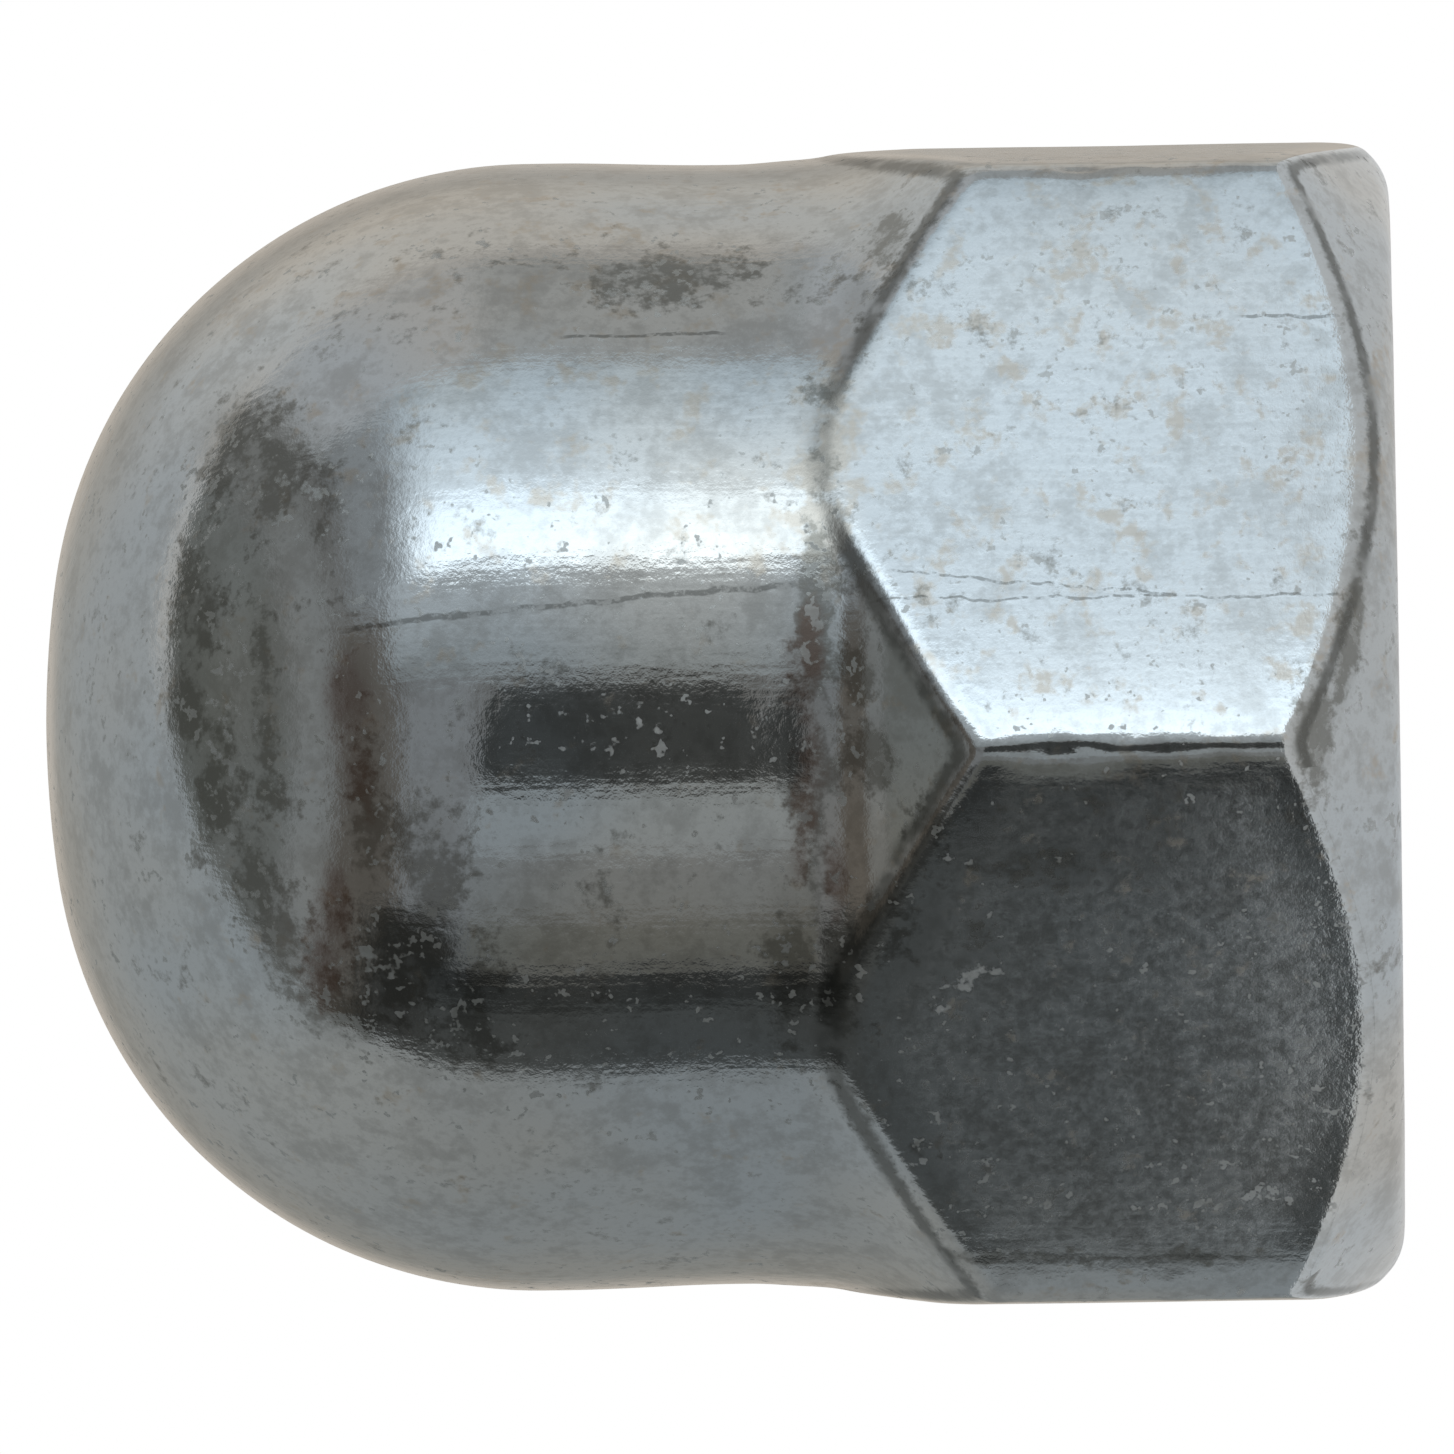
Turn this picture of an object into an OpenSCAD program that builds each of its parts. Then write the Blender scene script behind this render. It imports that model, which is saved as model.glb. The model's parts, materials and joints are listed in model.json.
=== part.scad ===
// Domed cap nut, cold formed in one piece and tapped from its open end.
// It stands on its bearing face: the thread axis is Z, and the origin is the centre of that face.
// A hexagonal bar and a turned outline are intersected, so cones cut the flats in the arcs of a real nut.

/* [Hexagon] */
// Width across the flats
across_flats = 13; // [12:0.1:16]
// Radius along the six corners between the flats
corner_radius = 0.3; // [0.1:0.05:0.8]
// Height at the middle of a flat where the neck cone would meet it without the hollow
flat_height = 6.05; // [4.5:0.05:7.5]

/* [Bearing end] */
// Height of the lower chamfer where it meets the middle of a flat
chamfer_height = 0.32; // [0.3:0.02:0.9]
// Angle of the lower chamfer to the thread axis
chamfer_angle = 45; // [30:1:60]
// Radius that rolls the lower chamfer into the bearing face
bearing_edge_radius = 0.7; // [0.2:0.05:0.8]

/* [Neck] */
// Depth of the cylinder's surface inside the flats
neck_step = 0.07; // [0.04:0.01:0.4]
// Angle of the neck cone to the thread axis
neck_angle = 33; // [20:1:45]
// Radius of the hollow between the neck cone and the cylinder
neck_fillet = 2.2; // [0.4:0.1:3]

/* [Dome] */
// Height of the whole nut
nut_height = 15.4; // [14:0.1:20]
// Distance from the thread axis to the centre of the arc that turns the cylinder into the dome
shoulder_offset = 0.93; // [0.2:0.01:2]
// Radius of the blunt crown at the top
crown_radius = 12; // [8.5:0.5:30]

/* [Threaded hole] */
// Nominal diameter of the thread
thread_diameter = 8; // [6:0.5:8.5]
// Pitch of the thread
thread_pitch = 1.25; // [0.75:0.25:1.5]
// Reach of the countersink beyond the nominal diameter, on each side
countersink_margin = 0.3; // [0.1:0.05:0.6]
// Full angle of the countersink
countersink_angle = 120; // [60:5:130]
// Full angle of the drill point that ends the hole
point_angle = 118; // [90:1:140]
// Metal left between the drill point and the top of the crown
crown_wall = 2.4; // [1.5:0.1:4]

/* [Hidden] */
$fn = 96;

plating_colour = [0.66, 0.68, 0.69];
// Share of the pitch that a metric internal thread takes off its nominal diameter
thread_depth_share = 1.0825;
// Distance by which a cutting or bounding shape passes the surface that it works on
overlap = 0.2;
// Largest turn between two points of an arc, on the dome and on small edges
dome_step = 3;
edge_step = 10;
// Directions of the hexagon's corners: two of them lie on the Y axis
corners = [30:60:330];

flat_r = across_flats / 2;
corner_reach = flat_r / cos(30);
turning_r = corner_reach + overlap;

bearing_r = flat_r - chamfer_height * tan(chamfer_angle);
chamfer_top = (turning_r - bearing_r) / tan(chamfer_angle);
bearing_tangent = bearing_edge_radius * tan((90 - chamfer_angle) / 2);

cylinder_r = flat_r - neck_step;
neck_top = flat_height + neck_step / tan(neck_angle);
neck_bottom = neck_top - (turning_r - cylinder_r) / tan(neck_angle);
neck_tangent = neck_fillet * tan(neck_angle / 2);

crown_z = nut_height - crown_radius;
shoulder_radius = cylinder_r - shoulder_offset;
shoulder_z = crown_z + sqrt(pow(crown_radius - shoulder_radius, 2) - pow(shoulder_offset, 2));
crown_spread = atan2(shoulder_offset, shoulder_z - crown_z);

bore_r = (thread_diameter - thread_depth_share * thread_pitch) / 2;
countersink_r = thread_diameter / 2 + countersink_margin;
countersink_depth = (countersink_r - bore_r) / tan(countersink_angle / 2);
point_height = bore_r / tan(point_angle / 2);
hole_depth = nut_height - crown_wall - point_height;

// Points of an arc about a centre after its first one, with turns of at most largest_step
function arc(centre, radius, from, to, largest_step) =
    let (steps = ceil(abs(to - from) / largest_step))
    [
        for (i = [1:steps])
            let (angle = from + (to - from) * i / steps)
            centre + radius * [cos(angle), sin(angle)]
    ];

// Outline of the bar: a hexagon with rounded corners
module hexagon_outline() {
    arc_centre_r = corner_reach - corner_radius / cos(30);
    polygon([
        for (corner = corners)
            let (centre = arc_centre_r * [cos(corner), sin(corner)])
            each concat(
                [centre + corner_radius * [cos(corner - 30), sin(corner - 30)]],
                arc(centre, corner_radius, corner - 30, corner + 30, edge_step)
            )
    ]);
}

// Half section of everything that is round about the thread axis, from the bearing face to the crown
module turned_outline() {
    polygon(concat(
        [
            [0, 0],
            [bearing_r - bearing_tangent, 0]
        ],
        arc(
            [bearing_r - bearing_tangent, bearing_edge_radius],
            bearing_edge_radius, -90, -chamfer_angle, edge_step
        ),
        [
            [turning_r, chamfer_top],
            [turning_r, neck_bottom],
            [
                cylinder_r + neck_tangent * sin(neck_angle),
                neck_top - neck_tangent * cos(neck_angle)
            ]
        ],
        arc(
            [cylinder_r + neck_fillet, neck_top + neck_tangent],
            neck_fillet, 180 + neck_angle, 180, edge_step
        ),
        [[cylinder_r, shoulder_z]],
        arc([shoulder_offset, shoulder_z], shoulder_radius, 0, 90 - crown_spread, dome_step),
        arc([0, crown_z], crown_radius, 90 - crown_spread, 90, dome_step)
    ));
}

// Blind hole at the thread's minor diameter, with a countersunk mouth and a drill point
module threaded_hole() {
    rotate_extrude()
        polygon([
            [0, -overlap],
            [countersink_r + overlap * tan(countersink_angle / 2), -overlap],
            [bore_r, countersink_depth],
            [bore_r, hole_depth],
            [0, hole_depth + point_height]
        ]);
}

module cap_nut() {
    color(plating_colour)
        difference() {
            intersection() {
                rotate_extrude()
                    turned_outline();
                linear_extrude(nut_height + overlap)
                    hexagon_outline();
            }
            threaded_hole();
        }
}

cap_nut();
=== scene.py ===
import json
import math
from itertools import product

import bpy
import numpy as np
from mathutils import Matrix, Vector


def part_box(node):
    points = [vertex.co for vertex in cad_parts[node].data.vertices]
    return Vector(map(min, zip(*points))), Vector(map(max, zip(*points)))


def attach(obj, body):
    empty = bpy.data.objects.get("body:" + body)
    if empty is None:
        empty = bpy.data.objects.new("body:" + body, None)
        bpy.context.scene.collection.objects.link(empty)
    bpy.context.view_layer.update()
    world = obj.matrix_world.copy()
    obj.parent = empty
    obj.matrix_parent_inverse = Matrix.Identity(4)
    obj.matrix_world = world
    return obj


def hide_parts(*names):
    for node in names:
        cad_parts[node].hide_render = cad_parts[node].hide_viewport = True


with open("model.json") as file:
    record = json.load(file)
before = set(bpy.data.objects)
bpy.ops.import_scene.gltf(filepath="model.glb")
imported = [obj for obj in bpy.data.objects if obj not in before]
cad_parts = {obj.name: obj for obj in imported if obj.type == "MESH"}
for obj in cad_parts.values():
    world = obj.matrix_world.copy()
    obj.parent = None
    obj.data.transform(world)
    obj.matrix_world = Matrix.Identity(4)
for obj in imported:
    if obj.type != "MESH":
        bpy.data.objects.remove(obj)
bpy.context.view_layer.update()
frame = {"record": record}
mm = 0.001

# Sizes that the frame gives, in millimetres
nodeLow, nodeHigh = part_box("cap_nut")
flatRadius = (nodeHigh.x - nodeLow.x) / 2 / mm
nutHeight = (nodeHigh.z - nodeLow.z) / mm
threadMount = next(mount for mount in frame["record"]["mounts"] if mount["name"] == "thread")
boreRadius = threadMount["dims"]["r_mm"]
flatSpan = 60  # degrees that each flat takes round the axis
halfSpan = math.radians(flatSpan / 2)

# The nut's own shape, in millimetres and degrees
nutShape = {
    "cornerRadius": 0.36,
    "flatRoll": 0.115,  # how far a flat falls away at its corners
    "flatRollPower": 5,
    "flatHeight": 6.05,
    "chamferHeight": 0.32,
    "chamferAngle": 45,
    "bearingEdgeRadius": 0.7,
    "neckStep": 0.07,
    "neckAngle": 33,
    "neckFillet": 2.2,
    "waistDepth": 0.042,  # a shallow waist where the cylinder nears the neck
    "waistStart": (6.62, 7.47),
    "waistEnd": (7.6, 9.6),
    "shoulderOffset": 0.93,
    "crownRadius": 12,
    "chamferSoftness": 0.13,  # reach of the rounded edge on each side of it
    "neckSoftness": 0.2,
    "softShare": 0.45,  # most of the neck's length that its soft edge may take
}

# The threaded hole, in millimetres and degrees
threadShape = {
    "majorRadius": 4.0,
    "pitch": 1.25,
    "countersinkRadius": 4.3,
    "countersinkAngle": 120,
    "pointAngle": 118,
    "crownWall": 2.4,
    "crestShare": 0.25,
    "rootShare": 0.125,
    "runOutFrom": 9.2,
    "runOutTo": 10.3,
}

# Grid of the nut's mesh: columns round the axis, rows along the outline
meshGrid = {
    "columnsPerFlat": 60,
    "cornerCrowding": 0.5,
    "seamCorner": 90,  # degrees, on the corner at +Y
    "bearingRows": 5,
    "bearingEdgeRows": 8,
    "chamferRows": 9,
    "edgeRows": 6,
    "flatRows": 54,
    "neckRows": 18,
    "cylinderRows": 30,
    "shoulderRows": 50,
    "crownRows": 9,
    "rowsPerPitch": 12,
    "pointRows": 8,
}


def smooth(share):
    return share * share * (3 - 2 * share)


def easeArray(value, low, high):
    return smooth(np.clip((value - low) / (high - low), 0, 1))


def bandArray(value, low, high, soft):
    above = easeArray(value, low - soft, low + soft)
    below = 1 - easeArray(value, high - soft, high + soft)
    return np.minimum(above, below)


def latticeNoise(points, cell, seed):
    size, shift = 32, 40  # cells before the noise repeats, and millimetres that set its place
    table = np.random.default_rng(seed).uniform(-1, 1, (size, size, size))
    scaled = (points + shift) / cell
    base = np.floor(scaled).astype(int)
    part = smooth(scaled - base)
    total = np.zeros(len(points))
    for corner in product((0, 1), repeat=3):
        weight = np.prod(np.where(np.array(corner) == 1, part, 1 - part), axis=1)
        index = (base + corner) % size
        total += weight * table[index[:, 0], index[:, 1], index[:, 2]]
    return total


def columnAngles():
    crowd = meshGrid["cornerCrowding"]
    across = np.linspace(-1, 1, meshGrid["columnsPerFlat"], endpoint=False)
    across = (1 - crowd) * across + crowd * np.sin(across * math.pi / 2)
    local = np.arctan(across * math.tan(halfSpan))
    flats = np.radians(meshGrid["seamCorner"] + flatSpan / 2 + flatSpan * np.arange(360 // flatSpan))
    return (flats[:, None] + local[None, :]).ravel()


def fromFlatMiddle(angles):
    return (angles + halfSpan) % (2 * halfSpan) - halfSpan


# Reach of the hexagon in each direction: flats that roll off a little, and a round corner tangent to them
def hexagonRadius(angles):
    power, roll, radius = nutShape["flatRollPower"], nutShape["flatRoll"], nutShape["cornerRadius"]
    halfFlat = flatRadius * math.tan(halfSpan)
    halvings, settlings = 60, 12

    def flatLine(along):
        return flatRadius - roll * (along / halfFlat) ** power

    def cornerMiss(along):  # how far the arc's centre lies from the line to the corner
        lean = math.atan(power * roll / halfFlat * (along / halfFlat) ** (power - 1))
        centre = flatLine(along) - radius * math.cos(lean)
        return along - radius * math.sin(lean) - centre * math.tan(halfSpan), centre

    low, high = halfFlat / 2, halfFlat
    for step in range(halvings):  # where on the flat the arc starts
        middle = (low + high) / 2
        low, high = (middle, high) if cornerMiss(middle)[0] < 0 else (low, middle)
    arcStart = math.atan2(low, flatLine(low))
    arcCentre = cornerMiss(low)[1] / math.cos(halfSpan)

    local = np.abs(fromFlatMiddle(angles))
    along = flatRadius * np.tan(local)
    for step in range(settlings):  # where each direction meets the rolled flat
        along = flatLine(along) * np.tan(local)
    flat = flatLine(along) / np.cos(local)
    inside = radius ** 2 - (arcCentre * np.sin(halfSpan - local)) ** 2
    corner = arcCentre * np.cos(halfSpan - local) + np.sqrt(np.maximum(inside, 0))
    return np.where(local > arcStart, corner, flat)


def shares(count):
    return (np.arange(count) + 1) / count


def spread(first, last, count):
    return [first + (last - first) * t for t in shares(count)]


def bend(first, middle, last, count):
    return [first * (1 - t) ** 2 + middle * 2 * t * (1 - t) + last * t * t for t in shares(count)]


def arcPoints(centre, radius, start, end, count):
    angles = np.radians(spread(start, end, count))
    return [(centre[0] + radius * np.cos(a), centre[1] + radius * np.sin(a)) for a in angles]


# Rows of the outside as (radius, height) for each column, from the countersink's rim to the crown
def outlineRows(hexRadius):
    shape, grid = nutShape, meshGrid
    ones = np.ones_like(hexRadius)

    def ring(radius, height):
        return np.array([radius * ones, height * ones])

    # bearing end: a rolled edge, then the chamfer up to its soft edge on the flats
    chamferAngle = math.radians(shape["chamferAngle"])
    bearingRadius = flatRadius - shape["chamferHeight"] * math.tan(chamferAngle)
    edgeRadius = shape["bearingEdgeRadius"]
    edgeStart = bearingRadius - edgeRadius * math.tan((math.pi / 2 - chamferAngle) / 2)
    chamferEdge = np.array([hexRadius, (hexRadius - bearingRadius) / math.tan(chamferAngle)])
    chamferSlope = np.array([math.sin(chamferAngle), math.cos(chamferAngle)])
    belowEdge = chamferEdge - shape["chamferSoftness"] * chamferSlope[:, None]
    aboveEdge = chamferEdge + ring(0, shape["chamferSoftness"])

    # neck: a hollow that runs down from the cylinder into a cone
    cylinderRadius = flatRadius - shape["neckStep"]
    fillet = shape["neckFillet"]
    neckAngle = math.radians(shape["neckAngle"])
    neckTop = shape["flatHeight"] + shape["neckStep"] / math.tan(neckAngle)
    filletTop = neckTop + fillet * math.tan(neckAngle / 2)
    filletLength = fillet * neckAngle
    filletFoot = cylinderRadius + fillet * (1 - math.cos(neckAngle))

    def neckPoint(length):  # measured down from the top of the hollow
        turn = np.minimum(length, filletLength) / fillet
        past = np.maximum(length - filletLength, 0)
        radius = cylinderRadius + fillet * (1 - np.cos(turn)) + past * math.sin(neckAngle)
        height = filletTop - fillet * np.sin(turn) - past * math.cos(neckAngle)
        return np.array([radius, height])

    onFillet = fillet * np.arccos(np.clip(1 - (hexRadius - cylinderRadius) / fillet, -1, 1))
    onCone = filletLength + (hexRadius - filletFoot) / math.sin(neckAngle)
    neckLength = np.where(hexRadius < filletFoot, onFillet, onCone)
    softNeck = np.minimum(shape["neckSoftness"], neckLength * shape["softShare"])
    neckEdge = neckPoint(neckLength)
    belowNeck = neckEdge - np.array([0 * ones, softNeck])
    aboveNeck = neckPoint(neckLength - softNeck)

    # dome: a shoulder arc that runs into the blunter arc of the crown
    offset, crownRadius = shape["shoulderOffset"], shape["crownRadius"]
    crownCentre = nutHeight - crownRadius
    shoulderRadius = cylinderRadius - offset
    shoulderCentre = crownCentre + math.sqrt((crownRadius - shoulderRadius) ** 2 - offset ** 2)
    crownStart = 90 - math.degrees(math.atan2(offset, shoulderCentre - crownCentre))
    bearingEdge = arcPoints(
        (edgeStart, edgeRadius), edgeRadius, -90, -shape["chamferAngle"], grid["bearingEdgeRows"]
    )
    shoulder = arcPoints((offset, shoulderCentre), shoulderRadius, 0, crownStart, grid["shoulderRows"])
    crown = arcPoints((0, crownCentre), crownRadius, crownStart, 90, grid["crownRows"])

    rows = [ring(threadShape["countersinkRadius"], 0)]
    rows += spread(rows[0], ring(edgeStart, 0), grid["bearingRows"])
    rows += [ring(*point) for point in bearingEdge]
    rows += spread(rows[-1], belowEdge, grid["chamferRows"])
    rows += bend(belowEdge, chamferEdge, aboveEdge, grid["edgeRows"])
    rows += spread(aboveEdge, belowNeck, grid["flatRows"])
    rows += bend(belowNeck, neckEdge, aboveNeck, grid["edgeRows"])
    rows += [neckPoint((neckLength - softNeck) * (1 - t)) for t in shares(grid["neckRows"])]
    rows += spread(rows[-1], ring(cylinderRadius, shoulderCentre), grid["cylinderRows"])
    rows += [ring(*point) for point in shoulder]
    rows += [ring(*point) for point in crown[:-1]]  # one point closes the crown
    rows = np.array(rows)
    height = rows[:, 1]
    waist = easeArray(height, *shape["waistStart"]) * (1 - easeArray(height, *shape["waistEnd"]))
    rows[:, 0] -= shape["waistDepth"] * waist
    return rows


# Rows of the hole as (radius, height) for each column, from the countersink to the drill point
def holeRows(angles):
    shape, grid = threadShape, meshGrid
    coneTan = math.tan(math.radians(shape["countersinkAngle"] / 2))
    pointHeight = boreRadius / math.tan(math.radians(shape["pointAngle"] / 2))
    holeDepth = nutHeight - shape["crownWall"] - pointHeight
    threadDepth = shape["majorRadius"] - boreRadius
    flank = (1 - shape["crestShare"] - shape["rootShare"]) / 2
    runOutLength = shape["runOutTo"] - shape["runOutFrom"]
    rowCount = int(round(holeDepth / shape["pitch"] * grid["rowsPerPitch"]))
    rows = []
    for height in np.linspace(0, holeDepth, rowCount + 1)[1:]:
        phase = (height / shape["pitch"] - angles / (2 * math.pi)) % 1
        fromRoot = np.abs(phase - 0.5)
        form = smooth(np.clip((shape["rootShare"] / 2 + flank - fromRoot) / flank, 0, 1))
        runOut = np.clip((shape["runOutTo"] - height) / runOutLength, 0, 1)
        wall = boreRadius + threadDepth * form * runOut
        cone = shape["countersinkRadius"] - height * coneTan
        rows.append(np.array([np.maximum(wall, cone), np.full_like(angles, height)]))
    tip = np.array([0 * angles, np.full_like(angles, holeDepth + pointHeight)])
    rows += spread(rows[-1], tip, grid["pointRows"])[:-1]  # one point closes the tip
    return np.array(rows), holeDepth + pointHeight


def gridPoints(rows, angles):
    radius, height = rows[:, 0], rows[:, 1]
    return np.stack([radius * np.cos(angles), radius * np.sin(angles), height], axis=-1)


# Quads between the rows of a closed grid, facing out or in
def gridFaces(start, rowCount, columns, inward):
    step = np.arange(columns)
    after = (step + 1) % columns
    faces = []
    for row in range(rowCount - 1):
        low = start + row * columns
        high = low + columns
        quad = [low + step, low + after, high + after, high + step]
        if inward:
            quad = quad[:1] + quad[:0:-1]
        faces += np.stack(quad, axis=1).tolist()
    return faces


# Handling has left the surface a little uneven and nicked the corners, in millimetres and degrees
nutWear = {
    "waves": [(1.6, 0.004), (0.6, 0.0012)],  # cell and height of each size of unevenness
    "waveSeed": 11,
    "ridgeReach": 7.4,  # from the axis to the ridge between two flats
    "ridgeStart": (6.9, 7.2),  # distances from the axis over which its wear sets in
    "ridgeWidth": 0.22,
    "ridgeWear": [(0.9, 0.024), (0.3, 0.02)],  # cell and depth of what the corners have lost
    "ridgeBurr": 0.2,  # share of that depth by which metal may stand up
    "ridgeSeed": 21,
    "nicks": [  # angle round the axis, height, width, length along the corner, depth
        (-90, 3.8, 0.09, 0.35, 0.012),
        (-90, 2.6, 0.08, 0.3, 0.01),
        (-30, 3.5, 0.1, 0.35, 0.025),
        (30, 2.6, 0.1, 0.2, 0.025),
        (90, 3.2, 0.1, 0.2, 0.025),
        (150, 4.1, 0.09, 0.18, 0.02),
        (210, 2.3, 0.1, 0.25, 0.025),
    ],
}


def wearSurface(outside):
    wear = nutWear
    around = np.roll(outside, -1, axis=1) - np.roll(outside, 1, axis=1)
    normal = np.cross(around, np.gradient(outside, axis=0))
    normal /= np.maximum(np.linalg.norm(normal, axis=-1, keepdims=True), 1e-9)
    points = outside.reshape(-1, 3)
    depth = np.zeros(len(points))
    for index, (cell, height) in enumerate(wear["waves"]):
        depth += height * latticeNoise(points, cell, wear["waveSeed"] + index)

    turn = np.degrees(np.arctan2(points[:, 1], points[:, 0]))
    fromRidge = np.radians(np.abs(turn % flatSpan - flatSpan / 2)) * wear["ridgeReach"]
    ridgeLow, ridgeHigh = wear["ridgeStart"]
    onRidge = np.exp(-(fromRidge / wear["ridgeWidth"]) ** 2)
    onRidge *= np.clip((np.hypot(points[:, 0], points[:, 1]) - ridgeLow) / (ridgeHigh - ridgeLow), 0, 1)
    for index, (cell, drop) in enumerate(wear["ridgeWear"]):
        loss = np.maximum(latticeNoise(points, cell, wear["ridgeSeed"] + index), -wear["ridgeBurr"])
        depth -= drop * onRidge * loss

    for angle, height, width, length, drop in wear["nicks"]:
        way = np.array([math.cos(math.radians(angle)), math.sin(math.radians(angle))])
        offset = (points[:, 1] * way[0] - points[:, 0] * way[1]) / width
        facing = points[:, :2] @ way > 0
        size = offset ** 2 + ((points[:, 2] - height) / length) ** 2
        depth -= drop * np.exp(-size) * facing
    depth = depth.reshape(outside.shape[:2])
    depth[0] = 0  # the countersink's rim stays where the hole meets it
    return outside + normal * depth[..., None]


# Marks left by use: angle round the axis, length along the outline from the neck's top,
# size round the axis, size along the outline, strength; degrees and millimetres
handlingMarks = {
    "rust": [
        # dome
        (-84, 4.95, 0.55, 0.3, 0.9), (-92, 4.85, 0.5, 0.28, 0.8), (-106, 5.15, 0.7, 0.2, 0.9),
        (-114, 5.35, 0.5, 0.22, 0.9),
        # neck
        (-80, -0.25, 0.5, 0.14, 0.9), (-89, -0.22, 0.7, 0.15, 0.9), (-84, -0.05, 0.8, 0.12, 0.7),
        (-96, -0.15, 0.6, 0.14, 0.75), (-103, -0.5, 0.5, 0.16, 0.9), (-101, -0.1, 0.4, 0.14, 0.7),
        # far side
        (28, 5.2, 0.6, 0.3, 0.7), (96, 4.6, 0.8, 0.25, 0.8),
        (150, -0.3, 0.6, 0.15, 0.8), (62, -0.2, 0.5, 0.14, 0.7),
    ],
    "smudge": [
        # dome
        (-50.5, 6.5, 0.6, 0.4, 0.8), (-57, 5.85, 0.7, 0.45, 0.8), (-63, 5.25, 0.6, 0.22, 0.7),
        (-70, 7.0, 0.7, 0.35, 0.75), (-82, 7.15, 0.7, 0.3, 0.8), (-93, 6.7, 0.75, 0.32, 0.75),
        (-104, 6.2, 0.7, 0.28, 0.75), (-112, 5.95, 0.5, 0.25, 0.8), (-84, 6.0, 1.1, 0.24, 0.75),
        (-98, 4.75, 1.2, 0.26, 0.75), (-112, 4.4, 0.7, 0.6, 0.7), (-119, 5.2, 0.4, 0.45, 0.8),
        (-103, 4.0, 0.8, 0.3, 0.65), (-116, 3.6, 0.6, 0.4, 0.6),
        # neck
        (-112, 0.0, 0.8, 0.25, 0.85), (-117, -0.5, 0.5, 0.25, 0.85), (-82, -0.8, 0.4, 0.25, 0.8),
        (-90, -1.0, 0.45, 0.2, 0.75), (-76, -0.3, 0.8, 0.2, 0.85), (-90, -0.1, 1.2, 0.12, 0.7),
        (-56, -0.4, 1.4, 0.18, 0.45), (-92, -0.35, 1.5, 0.3, 0.6), (-88, -0.3, 1.2, 0.14, 0.8),
        (-104, -0.3, 0.8, 0.15, 0.75), (-33, -1.2, 0.5, 0.3, 0.65), (-42, -0.85, 0.5, 0.25, 0.6),
        # flats and lower chamfer
        (-99, -3.4, 0.5, 2.0, 0.5), (-110, -1.6, 0.6, 0.8, 0.42),
        (-145.4, -4.6, 0.09, 0.9, 0.85), (-145.2, -2.4, 0.09, 0.8, 0.8),
        (-79, -6.42, 0.7, 0.13, 1.1), (-89, -6.1, 0.4, 0.22, 1.0),
        # cylinder
        (-34, 1.2, 0.4, 0.6, 0.65), (-35, 1.9, 0.3, 0.5, 0.6), (-33, 2.7, 0.25, 0.6, 0.5),
        # far side
        (40, 6.2, 0.9, 0.4, 0.7), (75, 5.2, 1.1, 0.5, 0.7), (110, 6.6, 0.8, 0.4, 0.7),
        (145, 4.2, 0.9, 0.6, 0.6), (90, -0.2, 1.3, 0.25, 0.8), (30, -0.3, 1.2, 0.25, 0.7),
    ],
    "scrape": [
        # flats
        (-116.7, -1.6, 0.09, 0.2, 0.62), (-114.6, -1.85, 0.1, 0.2, 0.7), (-112.6, -2.15, 0.09, 0.24, 0.6),
        (-139, -5.3, 0.12, 0.5, 0.55), (-134, -5.6, 0.15, 0.4, 0.5), (-136, -4.6, 0.1, 0.4, 0.5),
        # cylinder and shoulder
        (-76.5, 3.8, 0.05, 0.5, 0.7), (-87, 2.0, 0.45, 1.1, 0.38), (-116, 2.0, 0.5, 1.6, 0.25),
        # dome
        (-60, 5.6, 0.9, 0.6, 0.44), (-88, 6.5, 1.5, 0.6, 0.44),
        (-113, 5.6, 0.8, 0.5, 0.44), (-112, 4.6, 0.7, 0.6, 0.44),
        # far side
        (44, -3.0, 0.1, 0.5, 0.8),
    ],
    "stain": [
        # neck
        (-60, -0.42, 1.1, 0.3, 1.5), (60, -0.42, 1.1, 0.3, 1.5), (180, -0.42, 1.1, 0.3, 1.5),
        # faint and wide
        (-60, -3.6, 3.2, 3.0, 0.5), (60, -3.6, 3.2, 3.0, 0.45),
        (-48, 2.5, 2.6, 3.0, 0.42), (110, 2.5, 4.0, 3.0, 0.42),
        # flats
        (-47, -4.83, 0.22, 0.22, 1.0), (-60, -4.15, 0.5, 0.4, 0.7), (-78, -5.86, 0.18, 0.14, 1.0),
        (-69.5, -5.7, 0.2, 0.09, 1.0), (-67, -5.1, 0.15, 0.2, 0.9), (-55, -1.25, 0.14, 0.2, 0.9),
        (-41, -3.3, 0.12, 0.25, 0.9), (-34, -3.7, 0.1, 0.1, 0.9), (-76, -4.25, 0.15, 0.6, 0.75),
        (-70, -2.9, 0.4, 0.4, 0.65), (-45.5, -1.85, 0.3, 0.3, 0.65), (-53, -3.8, 0.4, 0.4, 0.65),
        # cylinder and shoulder
        (-54.5, 1.1, 0.25, 0.4, 0.7), (-51, 2.0, 0.2, 0.4, 0.7), (-51.5, 3.6, 0.25, 0.3, 0.7),
        (-60, 2.9, 0.25, 0.25, 0.6), (-29.5, 2.3, 0.3, 0.5, 0.7),
        # far side
        (20, -3.5, 0.3, 0.5, 0.9), (55, -2.4, 0.4, 0.4, 0.8), (80, -4.6, 0.25, 0.4, 0.9),
        (130, -3.1, 0.4, 0.5, 0.8), (170, -4.4, 0.3, 0.3, 0.9),
        (60, 2.5, 0.5, 0.4, 0.8), (120, 3.2, 0.4, 0.5, 0.8),
    ],
}

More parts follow.
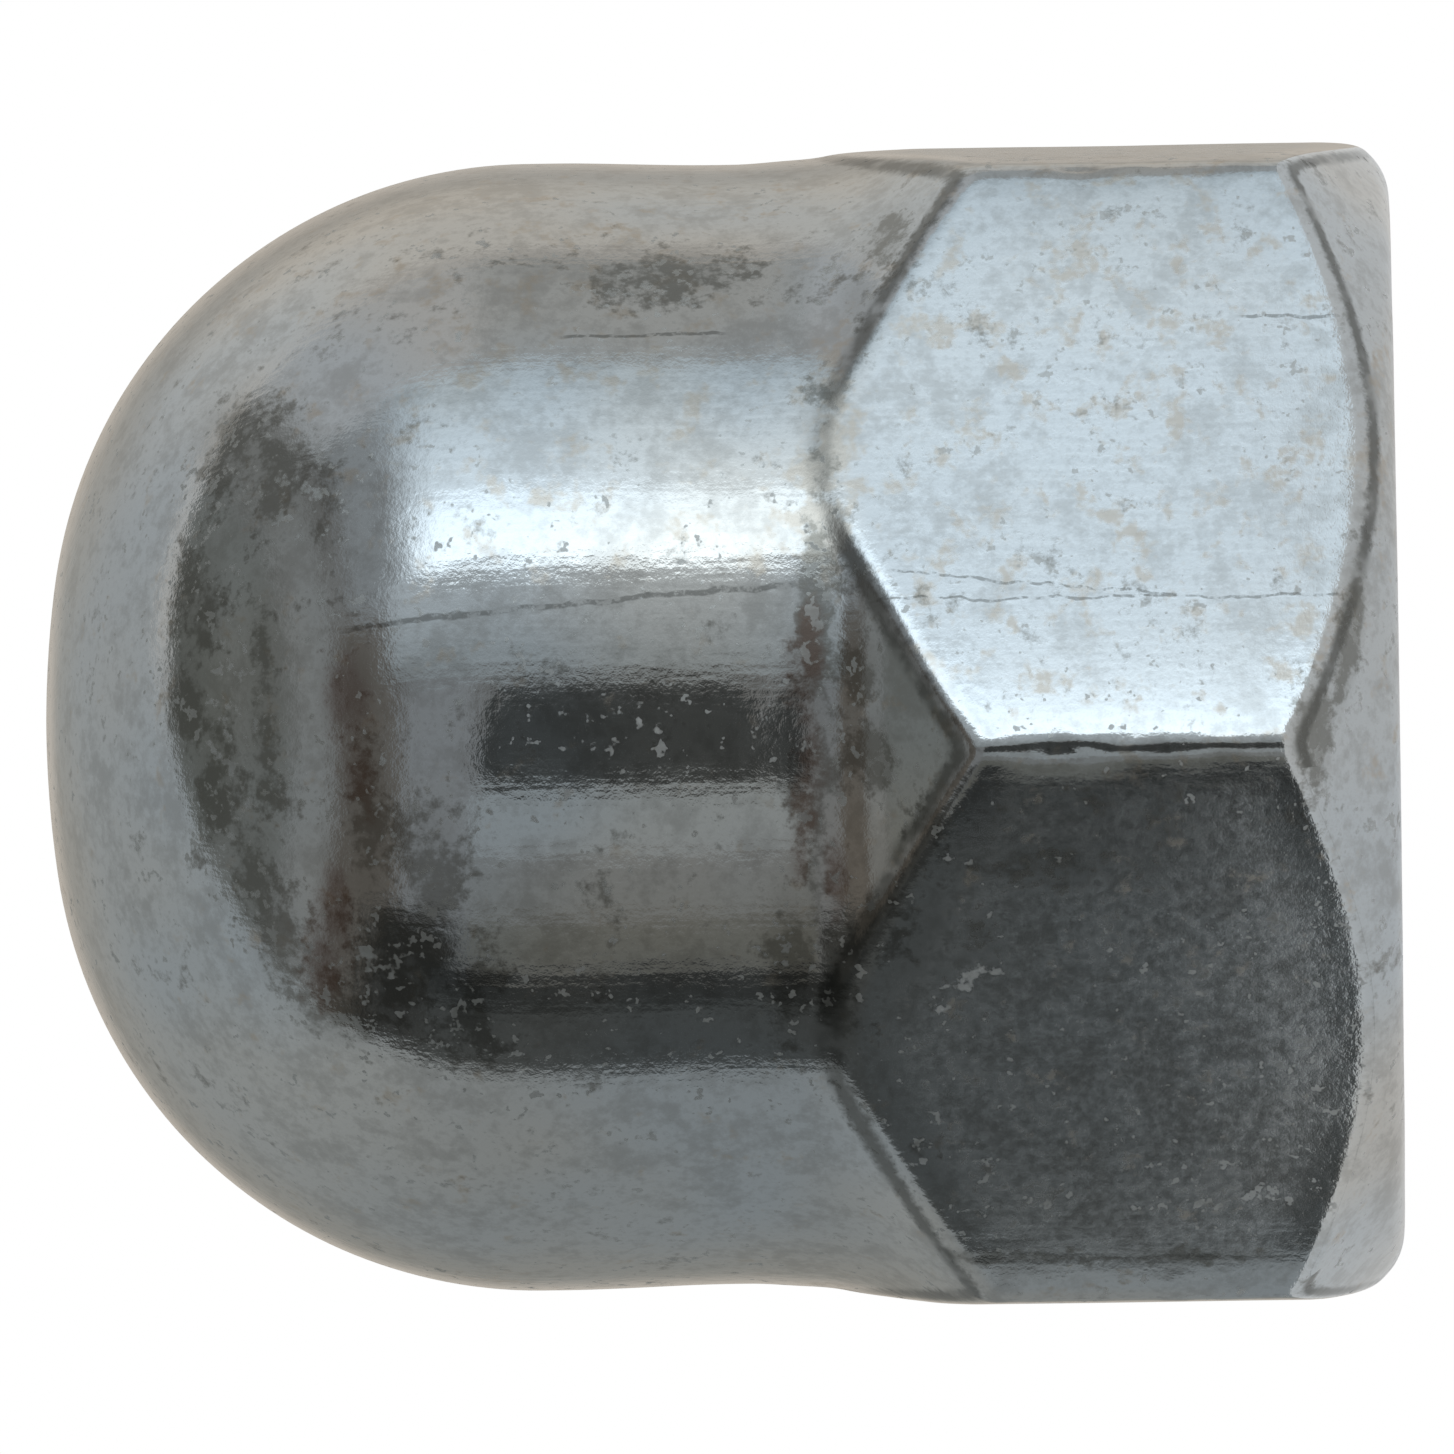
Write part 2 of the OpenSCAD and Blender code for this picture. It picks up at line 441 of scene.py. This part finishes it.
# What else the mesh tells the plating, in millimetres and degrees
platingGuides = {
    "neckBandShare": 0.6,  # below 1, the dark band above a flat is wider than the one below it
    "unbandedChamfer": -120,  # the flat whose lower border has no dark band
    "unbandedSpan": 28,
    "offBorder": -5.0,  # stands for a place far from any border
    "inHole": -20.0,  # length along the outline that stands for the hole
    "crownStep": 0.2,  # length from the last row to the point that closes the crown
    "warmthCells": [(2.4, 1.0), (1.1, 0.5)],  # cell and weight of each size of warm patches
    "warmthGain": 0.9,
    "warmthSeed": 31,
}


def turnBetween(first, last):
    return (first - last + 180) % 360 - 180


def markStrength(marks, points, profile):
    turn = np.degrees(np.arctan2(points[..., 1], points[..., 0]))
    reach = np.hypot(points[..., 0], points[..., 1])
    total = np.zeros_like(profile)
    for angle, length, across, along, strength in marks:
        offset = np.radians(turnBetween(turn, angle)) * reach / across
        size = offset ** 2 + ((profile - length) / along) ** 2
        total = np.maximum(total, strength * np.exp(-size / 2))
    return total


# Distance inside the nearest border of a flat, or below zero outside it
def borderDistance(angles, chamferSide, neckSide):
    guides = platingGuides
    neckSide = np.where(neckSide < 0, guides["neckBandShare"] * neckSide, neckSide)
    border = np.minimum(chamferSide, neckSide)
    fromCorner = flatRadius * (math.tan(halfSpan) - np.abs(np.tan(fromFlatMiddle(angles))))
    border = np.where(border > 0, np.minimum(border, fromCorner), border)
    unbandedFlat = np.abs(turnBetween(np.degrees(angles), guides["unbandedChamfer"])) < guides["unbandedSpan"]
    return np.where((chamferSide < 0) & unbandedFlat, guides["offBorder"], border)


def makeNutMesh():
    grid, guides = meshGrid, platingGuides
    angles = columnAngles()
    columns = len(angles)
    outside = gridPoints(outlineRows(hexagonRadius(angles)), angles)

    # length along the outline of each column, and the rows where a flat begins and ends
    steps = np.linalg.norm(np.diff(outside, axis=0), axis=-1)
    profile = np.concatenate([np.zeros((1, columns)), np.cumsum(steps, axis=0)])
    halfEdge = grid["edgeRows"] // 2
    chamferRow = grid["bearingRows"] + grid["bearingEdgeRows"] + grid["chamferRows"] + halfEdge
    neckRow = chamferRow + grid["flatRows"] + grid["edgeRows"]
    neckTopRow = neckRow + halfEdge + grid["neckRows"]
    border = borderDistance(angles, profile - profile[chamferRow], profile[neckRow] - profile)
    profile = profile - profile[neckTopRow]
    marks = {name: markStrength(places, outside, profile) for name, places in handlingMarks.items()}

    outside = wearSurface(outside)
    holeAngles = angles[::2]  # the hole has half as many columns as the outside
    holeColumns = len(holeAngles)
    holeGrid, tipHeight = holeRows(holeAngles)
    hole = gridPoints(holeGrid, holeAngles)
    points = np.concatenate([
        outside.reshape(-1, 3),
        [[0, 0, nutHeight]],
        hole.reshape(-1, 3),
        [[0, 0, tipHeight]],
    ])
    crownPoint = outside.shape[0] * columns
    holeStart = crownPoint + 1
    tipPoint = len(points) - 1

    faces = gridFaces(0, outside.shape[0], columns, False)
    last = crownPoint - columns
    faces += [[last + a, last + (a + 1) % columns, crownPoint] for a in range(columns)]
    for a in range(holeColumns):
        b = (a + 1) % holeColumns
        rimFirst, rimMiddle, rimLast = 2 * a, 2 * a + 1, (2 * a + 2) % columns
        faces.append([rimFirst, holeStart + a, rimMiddle])
        faces.append([rimMiddle, holeStart + a, holeStart + b])
        faces.append([rimMiddle, holeStart + b, rimLast])
    faces += gridFaces(holeStart, hole.shape[0], holeColumns, True)
    last = tipPoint - holeColumns
    faces += [[last + a, tipPoint, last + (a + 1) % holeColumns] for a in range(holeColumns)]

    mesh = bpy.data.meshes.new("nutMesh")
    mesh.from_pydata((points * mm).tolist(), [], faces)
    mesh.update()
    mesh.shade_smooth()

    def withHole(data, atCrown, inHole):
        return np.concatenate([data.ravel(), [atCrown], np.full(len(points) - holeStart, inHole)])

    crownProfile = profile[-1].max() + guides["crownStep"]
    values = {
        "profile": withHole(profile, crownProfile, guides["inHole"]),
        "border": withHole(border, guides["offBorder"], guides["offBorder"]),
    }
    for name, mark in marks.items():
        values[name] = withHole(mark, 0.0, 0.0)
    drift = np.zeros(len(points))
    for index, (cell, weight) in enumerate(guides["warmthCells"]):
        drift += weight * latticeNoise(points, cell, guides["warmthSeed"] + index)
    values["warmth"] = np.clip(0.5 + guides["warmthGain"] * drift, 0, 1)
    for name, data in values.items():
        mesh.attributes.new(name, "FLOAT", "POINT").data.foreach_set("value", data.astype(np.float32))
    return mesh


def addObject(name, data):
    obj = bpy.data.objects.new(name, data)
    bpy.context.scene.collection.objects.link(obj)
    return obj


nut = addObject("cap_nut_body", makeNutMesh())
triangles = sum(len(face.vertices) - 2 for face in nut.data.polygons)
print("nut mesh:", len(nut.data.vertices), "points,", triangles, "triangles")


# Short makers of shader nodes, each giving the socket that the next node takes
def nodeTools(tree):
    tree.nodes.clear()

    def make(kind, inputs=None, output=0, **settings):
        node = tree.nodes.new("ShaderNode" + kind)
        for key, value in settings.items():
            setattr(node, key, value)
        for key, value in (inputs or {}).items():
            if isinstance(value, bpy.types.NodeSocket):
                tree.links.new(value, node.inputs[key])
            else:
                node.inputs[key].default_value = value
        return node.outputs[output] if node.outputs else node

    def calc(operation, first, second=0.0, third=0.0):
        return make("Math", {0: first, 1: second, 2: third}, operation=operation)

    def ease(value, low, high, first=0.0, last=1.0):
        ends = {"From Min": low, "From Max": high, "To Min": first, "To Max": last}
        return make("MapRange", {"Value": value, **ends}, interpolation_type="SMOOTHSTEP")

    def blend(factor, first, second):  # 6, 7 and 2 are the colour sockets of this node
        return make("Mix", {0: factor, 6: first, 7: second}, 2, data_type="RGBA")

    def noise(vector, scale, detail, roughness):
        return make("TexNoise", {"Vector": vector, "Scale": scale, "Detail": detail, "Roughness": roughness})

    def band(value, low, high, soft):
        above = ease(value, low - soft, low + soft)
        below = ease(value, high - soft, high + soft, 1.0, 0.0)
        return calc("MINIMUM", above, below)

    return make, calc, ease, blend, noise, band


def newMaterial(name):
    material = bpy.data.materials.new(name)
    material.use_nodes = True
    return material


# Worn plating: colours as linear red, green and blue, lengths in millimetres, angles in degrees.
# A noise is given by its cells a millimetre, detail and roughness, and a range by the values
# where a mask sets in and where it is full.
wornPlating = {
    "coolMetal": (0.69, 0.735, 0.77, 1),
    "warmMetal": (0.745, 0.735, 0.71, 1),
    "tarnish": (0.26, 0.25, 0.23, 1),
    "creamStain": (0.49, 0.42, 0.335, 1),
    "rust": (0.16, 0.085, 0.055, 1),
    "fleck": (0.45, 0.46, 0.45, 1),
    "smudge": (0.19, 0.185, 0.165, 1),
    "scratchAndBorderDark": (0.13, 0.13, 0.12, 1),
    "grainNoise": (7.0, 3, 0.75),
    "cloudNoise": (1.4, 3, 0.68),
    "creamNoise": (2.2, 3, 0.7),
    "gritNoise": (6.0, 2, 0.7),
    "streakNoise": (1.0, 1, 0.6),
    "streakCells": (57.6, 0.8),  # round the axis, and for each millimetre along the outline
    "raggedGrain": 0.6,  # share of grain in the ragged edges of the marks
    "flatEdge": (0.0, 0.3),  # where the look of the flats sets in, inside their borders
    "flatWarmth": 0.25,
    "mottleRange": (-0.24, 0.24),
    "mottleStrength": 0.5,
    "tarnishRange": (0.0, 0.24),
    "tarnishStrength": 0.35,
    "creamGrain": 0.2,
    "creamGain": 0.19,
    "creamRange": (0.7, 0.86),
    "creamStrength": 0.55,
    "smudgeRagged": 2.2,
    "smudgeRange": (0.25, 0.75),
    "smudgeStrength": 0.74,
    "rustRagged": 1.4,
    "rustRange": (0.3, 0.9),
    "rustStrength": 0.6,
    "speckCloud": 0.4,
    "speckGain": (0.1, -0.1),  # more specks in smudges off the flats, fewer in those on them
    "speckRange": (0.83, 0.91),
    "scrapeGrit": 1.4,
    "scrapeRange": (0.36, 0.7),
    "fleckStrength": 0.6,
    "scratches": [  # angle and length along the outline at each end, width
        (-76.9, 5.0, -73.3, -0.1, 0.022),
        (-44.6, 2.5, -44.0, 0.7, 0.016),
        (-75.8, -1.0, -76.0, -6.2, 0.01),
        (-72.8, -1.2, -75.9, -4.4, 0.01),
        (-45.5, -5.1, -45.8, -6.2, 0.014),
    ],
    "scratchWander": 1.8,
    "scratchFade": 0.1,
    "scratchRange": (0.36, 0.54),
    "scratchStrength": 0.6,
    "borderDarkRagged": 0.16,
    "borderDarkBand": (-0.19, -0.03, 0.05),  # outer and inner edge, softness
    "borderDarkCloud": (0.25, 0.52),
    "borderDarkUnderStains": (0.5, 1.4),
    "borderDarkStrength": (0.8, 0.42),  # where no stain lies, and where the stains are strongest
    "cleanRoughness": 0.09,
    "dullRoughness": 0.1,  # added where the plating is stained
    "tarnishDullness": 0.6,
    "flatRoughness": 0.12,  # added on the flats, in a haze
    "hazeEdge": (0.1, 0.9),
    "hazeGrain": (0.32, 0.68, 0.75, 1.3),
    "fleckRoughness": 0.44,
    "scrapeDullness": 1.4,
    "bumpHeight": 0.006,
    "bumpGrain": 0.5,
    "bumpStreaks": 0.35,
}


def makePlating():
    plating = wornPlating
    material = newMaterial("wornPlating")
    make, calc, ease, blend, noise, band = nodeTools(material.node_tree)

    def marked(name):
        return make("Attribute", output="Fac", attribute_name=name)

    def scaled(vector, scale):
        return make("VectorMath", {0: vector, "Scale": scale}, operation="SCALE")

    def aboutZero(value):
        return calc("SUBTRACT", value, 0.5)

    def ragged(gain, name, ends):
        return ease(calc("MULTIPLY_ADD", unevenness, plating[gain], marked(name)), *plating[ends])

    def stain(mask, strength, below, colour):
        return blend(calc("MULTIPLY", mask, plating[strength]), below, plating[colour])

    place = scaled(make("TexCoord", output="Object"), 1 / mm)
    x, y = [make("SeparateXYZ", {0: place}, axis) for axis in "XY"]
    turn = calc("DEGREES", calc("ARCTAN2", y, x))
    around = make("VectorMath", {0: make("CombineXYZ", {0: x, 1: y})}, operation="NORMALIZE")
    profile = marked("profile")
    border = marked("border")
    onFlat = ease(border, *plating["flatEdge"])
    grain = noise(place, *plating["grainNoise"])
    cloud = noise(place, *plating["cloudNoise"])
    grit = noise(place, *plating["gritNoise"])
    middle = 0.5 + plating["raggedGrain"] / 2
    unevenness = calc("MULTIPLY_ADD", grain, plating["raggedGrain"], calc("SUBTRACT", cloud, middle))
    aroundCells, alongCells = plating["streakCells"]
    streakLength = make("CombineXYZ", {2: calc("MULTIPLY", profile, alongCells)})
    streakPlace = make("VectorMath", {0: scaled(around, aroundCells), 1: streakLength})
    streaks = noise(streakPlace, *plating["streakNoise"])

    # cool and warm metal, mottled all over
    warmth = calc("MULTIPLY", marked("warmth"), ease(onFlat, 0.0, 1.0, 1.0, plating["flatWarmth"]))
    colour = blend(warmth, plating["coolMetal"], plating["warmMetal"])
    mottled = blend(plating["mottleStrength"], colour, plating["tarnish"])
    colour = blend(ease(unevenness, *plating["mottleRange"]), mottled, colour)
    tarnish = ease(unevenness, *plating["tarnishRange"])
    colour = stain(tarnish, "tarnishStrength", colour, "tarnish")
    stained = marked("stain")
    cream = calc("MULTIPLY_ADD", grain, plating["creamGrain"], noise(place, *plating["creamNoise"]))
    cream = ease(calc("MULTIPLY_ADD", stained, plating["creamGain"], cream), *plating["creamRange"])
    colour = stain(cream, "creamStrength", colour, "creamStain")

    # smudges and rust where the mesh marks them
    colour = stain(ragged("smudgeRagged", "smudge", "smudgeRange"), "smudgeStrength", colour, "smudge")
    rust = ragged("rustRagged", "rust", "rustRange")
    colour = stain(rust, "rustStrength", colour, "rust")

    # small corroded flecks, dull enough to look dark in a bright place and pale in a dark one
    speck = calc("MULTIPLY_ADD", cloud, plating["speckCloud"], grit)
    speck = calc("MULTIPLY_ADD", marked("smudge"), ease(onFlat, 0.0, 1.0, *plating["speckGain"]), speck)
    speck = ease(speck, *plating["speckRange"])
    scrape = calc("MULTIPLY_ADD", aboutZero(grit), plating["scrapeGrit"], marked("scrape"))
    scrape = ease(scrape, *plating["scrapeRange"])
    colour = stain(calc("MAXIMUM", speck, scrape), "fleckStrength", colour, "fleck")

    # long scratches that wander a little, broken by the grain
    scratched = 0.0
    for firstTurn, firstLength, lastTurn, lastLength, width in plating["scratches"]:
        slope = (lastTurn - firstTurn) / (lastLength - firstLength)
        line = calc("MULTIPLY_ADD", calc("SUBTRACT", profile, firstLength), slope, firstTurn)
        line = calc("MULTIPLY_ADD", aboutZero(cloud), plating["scratchWander"], line)
        gap = calc("ABSOLUTE", calc("SUBTRACT", turn, line))
        gap = calc("MULTIPLY", gap, math.radians(flatRadius))  # degrees to millimetres
        ends = sorted((firstLength, lastLength))
        within = band(profile, *ends, plating["scratchFade"])
        mark = calc("MULTIPLY", ease(gap, width, width * 2, 1.0, 0.0), within)
        scratched = calc("MAXIMUM", scratched, mark)
    scratched = calc("MULTIPLY", scratched, ease(grain, *plating["scratchRange"]))
    colour = stain(scratched, "scratchStrength", colour, "scratchAndBorderDark")

    # a dark band just outside the borders of the flats, fainter where the stains are strongest
    edge = calc("MULTIPLY_ADD", aboutZero(grain), plating["borderDarkRagged"], border)
    darkBand = calc("MULTIPLY", band(edge, *plating["borderDarkBand"]), ease(cloud, *plating["borderDarkCloud"]))
    darkBand = calc("MULTIPLY", darkBand, ease(stained, *plating["borderDarkUnderStains"], *plating["borderDarkStrength"]))
    colour = blend(darkBand, colour, plating["scratchAndBorderDark"])

    # stains, haze on the flats and flecks dull the mirror
    dull = calc("MULTIPLY", tarnish, plating["tarnishDullness"])
    dull = calc("MAXIMUM", dull, calc("MAXIMUM", cream, rust))
    roughness = calc("MULTIPLY_ADD", dull, plating["dullRoughness"], plating["cleanRoughness"])
    haze = calc("MULTIPLY", ease(border, *plating["hazeEdge"]), ease(grain, *plating["hazeGrain"]))
    roughness = calc("MULTIPLY_ADD", haze, plating["flatRoughness"], roughness)
    worn = calc("MAXIMUM", speck, calc("MULTIPLY", scrape, plating["scrapeDullness"]))
    roughness = calc("MAXIMUM", roughness, calc("MULTIPLY", worn, plating["fleckRoughness"]))

    height = calc("MULTIPLY", streaks, plating["bumpStreaks"])
    height = calc("MULTIPLY_ADD", grain, plating["bumpGrain"], height)
    bump = make("Bump", {"Strength": 1.0, "Distance": plating["bumpHeight"] * mm, "Height": height})
    finish = {"Base Color": colour, "Metallic": 1.0, "Roughness": roughness, "Normal": bump}
    make("OutputMaterial", {0: make("BsdfPrincipled", finish)})
    return material


nut.data.materials.append(makePlating())
print("plating made")

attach(nut, "root")
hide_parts("cap_nut")


# The photograph's view: the camera stands in front of a corner, with the crown to the left
photoView = {
    "frameWidth": 16.6,  # millimetres across the picture at the thread axis
    "distance": 260,
    "azimuth": 2.6,
    "elevation": -1.3,
    "roll": 0.85,
    "centreHeight": 7.64,
    "centreShift": -0.03,
    "clip": (0.001, 10),  # metres
}


def makeCamera():
    view = photoView
    azimuth, elevation = math.radians(view["azimuth"]), math.radians(view["elevation"])
    back = Vector((
        math.sin(azimuth) * math.cos(elevation),
        -math.cos(azimuth) * math.cos(elevation),
        math.sin(elevation),
    ))
    right = Vector((0, 0, -1))  # the picture's right is down the thread axis
    right = (right - right.dot(back) * back).normalized()
    up = back.cross(right)
    roll = math.radians(view["roll"])
    rolledRight = right * math.cos(roll) + up * -math.sin(roll)
    rolledUp = back.cross(rolledRight)
    target = Vector((0, 0, view["centreHeight"] * mm)) + up * view["centreShift"] * mm
    place = target + back * view["distance"] * mm
    camera = addObject("photoCamera", bpy.data.cameras.new("photoCamera"))
    camera.matrix_world = Matrix((
        (rolledRight.x, rolledUp.x, back.x, place.x),
        (rolledRight.y, rolledUp.y, back.y, place.y),
        (rolledRight.z, rolledUp.z, back.z, place.z),
        (0, 0, 0, 1),
    ))
    camera.data.lens = camera.data.sensor_width * view["distance"] / view["frameWidth"]
    camera.data.clip_start, camera.data.clip_end = view["clip"]
    bpy.context.scene.camera = camera


makeCamera()
print("camera made")


# The soft tent round the nut, whose panels the metal mirrors. Turn is the angle from the camera's side
# towards +X, rise is the angle above level, both in degrees; colours are linear.
lightTent = {
    "radius": 0.25,
    "segments": 480,
    "room": (0.2, 0.2, 0.195),
    "shelves": [  # first and last rise, softness, colour
        (12, 29, 3, (0.26, 0.27, 0.275)),
        (30, 45, 2, (0.155, 0.142, 0.125)),
        (45.5, 57, 3, (0.265, 0.27, 0.262)),
        (57, 72, 4, (0.2, 0.207, 0.195)),
        (72, 95, 4, (0.172, 0.178, 0.164)),
    ],
    "panels": {  # turns, rises, softness of each, colour at the first turn and at the last
        "windowReveal": ((28, 80), (24, 42), (5, 5), (0.27, 0.285, 0.29), (0.31, 0.325, 0.33)),
        "upperWall": ((77, 125), (-30, 44), (2, 4), (0.42, 0.44, 0.445), (0.385, 0.4, 0.4)),
        "upperLedge": ((79, 135), (9, 42), (3, 5), (0.49, 0.5, 0.505), (0.49, 0.5, 0.5)),
        "lowerCorner": ((-75, -38), (15, 36), (4, 5), (0.052, 0.054, 0.052), (0.055, 0.056, 0.052)),
        "lowerShade": ((-75, -48.5), (-30, 22), (1.2, 3), (0.07, 0.075, 0.074), (0.082, 0.088, 0.087)),
        "lowerLine": ((-56.5, -48.5), (-30, 22), (1.5, 3), (0.04, 0.043, 0.042), (0.038, 0.04, 0.039)),
        "oliveShelf": ((-47.5, -37), (-30, 14), (1.2, 2), (0.15, 0.152, 0.138), (0.175, 0.177, 0.162)),
        "greyShelf": ((-36, -24), (-30, 14), (1.5, 2), (0.225, 0.235, 0.23), (0.24, 0.25, 0.25)),
        "paleShelf": ((-23.5, -9.5), (-30, 13), (1.2, 2), (0.31, 0.335, 0.345), (0.33, 0.36, 0.37)),
        "softPanel": ((12.5, 35), (-30, 32), (1.5, 3), (0.30, 0.33, 0.34), (0.54, 0.585, 0.61)),
        "window": ((35.5, 82), (-30, 25), (1.2, 7), (1.28, 1.42, 1.51), (0.52, 0.595, 0.64)),
        "windowGlow": ((35.5, 51), (-30, 23), (2.0, 5), (1.7, 1.88, 1.98), (1.36, 1.54, 1.66)),
    },
    "cameraShade": {  # the dark place that the camera leaves
        "turn": 1,
        "width": 10.2,
        "rise": 11,
        "lean": 0.3,
        "powers": (4, 2.6),
        "soft": (0.75, 1.25),
        "colour": (0.058, 0.062, 0.061),
    },
    "paper": {  # the sheet behind the nut, from its lower side over to its upper one
        "slope": 0.375,
        "start": 0.035,
        "soft": 0.012,
        "lower": (0.295, 0.315, 0.32),
        "upper": (0.40, 0.41, 0.41),
        "sides": (-0.6, 0.8),
        "glow": (0.60, 0.59, 0.56),
        "glowTurns": (110, 150, 10),
        "glowFade": (10, 60),
        "far": (0.52, 0.51, 0.49),
        "farReach": (0.86, 1.0),
        "farTint": (1.05, 0.98, 0.9),  # warmer where the nut's outline mirrors it
        "farTintReach": (0.6, 0.92),
        "hem": (0.5, 0.49, 0.47),
        "hemBand": (0.0, 0.09, 0.03),
        "hemSides": (-0.1, 0.3),
        "riseGain": 0.22,
        "riseReach": (5, 45),
    },
}


def over(below, mask, tone):
    return below + mask[:, None] * (np.array(tone) - below)


def between(first, last, share):
    return np.array(first) + share[:, None] * (np.array(last) - np.array(first))


def paperColours(x, y, turn, rise):
    paper = lightTent["paper"]
    depth = y - x * paper["slope"] - paper["start"]
    colour = between(paper["lower"], paper["upper"], easeArray(x, *paper["sides"]))
    glow = bandArray(turn, *paper["glowTurns"]) * (1 - easeArray(rise, *paper["glowFade"]))
    colour = over(colour, glow, paper["glow"])
    colour = over(colour, easeArray(y, *paper["farReach"]), paper["far"])
    colour = colour * between((1, 1, 1), paper["farTint"], easeArray(y, *paper["farTintReach"]))
    hem = bandArray(depth, *paper["hemBand"]) * easeArray(x, *paper["hemSides"])
    colour = over(colour, hem, paper["hem"])
    colour = colour * (1 + paper["riseGain"] * easeArray(rise, *paper["riseReach"]))[:, None]
    return colour, easeArray(depth, -paper["soft"], paper["soft"])


def tentColours(way):
    tent, shade = lightTent, lightTent["cameraShade"]
    x, y, z = way.T
    turn = np.degrees(np.arctan2(x, -y))
    rise = np.degrees(np.arcsin(np.clip(z, -1, 1)))
    colour = np.tile(np.array(tent["room"]), (len(way), 1))
    for low, high, soft, tone in tent["shelves"]:
        colour = over(colour, bandArray(rise, low, high, soft), tone)
    for turns, rises, soft, first, last in tent["panels"].values():
        mask = bandArray(turn, *turns, soft[0]) * bandArray(rise, *rises, soft[1])
        share = np.clip((turn - turns[0]) / (turns[1] - turns[0]), 0, 1)
        colour = over(colour, mask, between(first, last, share))
    turnPower, risePower = shade["powers"]
    fromShade = np.abs((turn - shade["turn"]) / shade["width"]) ** turnPower
    fromShade += np.abs((rise + shade["lean"] * turn) / shade["rise"]) ** risePower
    colour = over(colour, 1 - easeArray(fromShade, *shade["soft"]), shade["colour"])
    paper, onPaper = paperColours(x, y, turn, rise)
    return over(colour, onPaper, paper)


def makeTent():
    look = lightTent
    segments, rings = look["segments"], look["segments"] // 2
    rise = np.pi * np.arange(1, rings) / rings - np.pi / 2
    angle = 2 * np.pi * np.arange(segments) / segments
    ringPoints = np.stack([
        np.cos(rise)[:, None] * np.cos(angle)[None, :],
        np.cos(rise)[:, None] * np.sin(angle)[None, :],
        np.repeat(np.sin(rise)[:, None], segments, axis=1),
    ], axis=-1).reshape(-1, 3)
    poles = [[0, 0, -1], [0, 0, 1]]
    way = np.concatenate([poles, ringPoints])
    first = len(poles)
    last = len(way) - segments
    faces = [(0, first + a, first + (a + 1) % segments) for a in range(segments)]
    faces += [(1, last + (a + 1) % segments, last + a) for a in range(segments)]
    faces += gridFaces(first, len(rise), segments, True)
    mesh = bpy.data.meshes.new("tentMesh")
    mesh.from_pydata((way * look["radius"]).tolist(), [], faces)
    glow = mesh.attributes.new("glow", "FLOAT_COLOR", "POINT")
    colours = np.concatenate([tentColours(way), np.ones((len(way), 1))], axis=1)
    glow.data.foreach_set("color", colours.astype(np.float32).ravel())

    material = newMaterial("tentLight")
    make = nodeTools(material.node_tree)[0]
    light = make("Emission", {"Color": make("Attribute", attribute_name="glow"), "Strength": 1.0})
    make("OutputMaterial", {0: light})
    material.cycles.emission_sampling = "NONE"
    mesh.materials.append(material)
    tent = addObject("lightTent", mesh)
    tent.location = (0, 0, nutHeight / 2 * mm)
    tent.visible_camera = False


# Pale floor: it reads white in the picture, is dimmer in the metal, keeps the nut's shadow,
# has a painted shadow that dims its glow near the nut, and is clear from below
paleFloor = {
    "radius": 0.022,
    "sides": 96,
    "colour": (0.8, 0.8, 0.8, 1),
    "pictureGlowWithPaintedShadow": (0.62, 0.77),  # beside the nut, where its real shadow shows and a painted shadow dims it, and at the rim
    # distances from the axis over which the painted shadow round the nut fades out
    "paintedShadowReach": (0.008, 0.021),
    "mirrorGlow": 0.385,
    "drop": 0.07,  # millimetres below the bearing face
    "tilt": 0.5,  # degrees, so that the photograph's camera sees only the clear underside
}


def rayKinds(make):
    return [make("LightPath", output=f"Is {kind} Ray") for kind in ("Camera", "Glossy", "Transmission")]


def makeFloor():
    look = paleFloor
    material = newMaterial("paleFloor")
    make, calc, ease = nodeTools(material.node_tree)[:3]
    isCamera, isGlossy, isThrough = rayKinds(make)
    mirrored = calc("MULTIPLY", calc("MAXIMUM", isGlossy, isThrough), look["mirrorGlow"])
    fromAxis = make("VectorMath", {0: make("TexCoord", output="Object")}, "Value", operation="LENGTH")
    # the glow seen in the picture is darker near the nut: a painted shadow
    seenGlowWithPaintedShadow = calc("MULTIPLY", isCamera, ease(fromAxis, *look["paintedShadowReach"], *look["pictureGlowWithPaintedShadow"]))
    strength = calc("MAXIMUM", seenGlowWithPaintedShadow, mirrored)
    glow = make("Emission", {"Color": (1, 1, 1, 1), "Strength": strength})
    upper = make("AddShader", {0: make("BsdfDiffuse", {"Color": look["colour"]}), 1: glow})
    fromBelow = make("NewGeometry", output="Backfacing")
    clear = make("BsdfTransparent", {"Color": (1, 1, 1, 1)})
    make("OutputMaterial", {0: make("MixShader", {0: fromBelow, 1: upper, 2: clear})})
    material.cycles.emission_sampling = "NONE"

    mesh = bpy.data.meshes.new("floorMesh")
    turns = [2 * math.pi * side / look["sides"] for side in range(look["sides"])]
    rim = [(look["radius"] * math.cos(turn), look["radius"] * math.sin(turn), 0) for turn in turns]
    mesh.from_pydata(rim, [], [tuple(range(look["sides"]))])
    mesh.materials.append(material)
    floor = addObject("paleFloor", mesh)
    floor.location = (0, 0, -look["drop"] * mm)
    floor.rotation_euler = (-math.radians(look["tilt"]), 0, 0)


# White behind everything, dimmer where it only lights
whiteStudio = {"lit": 0.4, "seen": 1.0}


def makeWorld():
    world = bpy.data.worlds.new("studio")
    bpy.context.scene.world = world
    world.use_nodes = True
    make, calc, ease = nodeTools(world.node_tree)[:3]
    isCamera, isGlossy, isThrough = rayKinds(make)
    seen = calc("MAXIMUM", isCamera, calc("MAXIMUM", isGlossy, isThrough))
    strength = ease(seen, 0.0, 1.0, whiteStudio["lit"], whiteStudio["seen"])
    make("OutputWorld", {0: make("Background", {"Color": (1, 1, 1, 1), "Strength": strength})})
    world.cycles.sampling_method = "NONE"


makeTent()
makeFloor()
makeWorld()
bpy.context.scene.view_settings.view_transform = "Standard"
print("studio made")
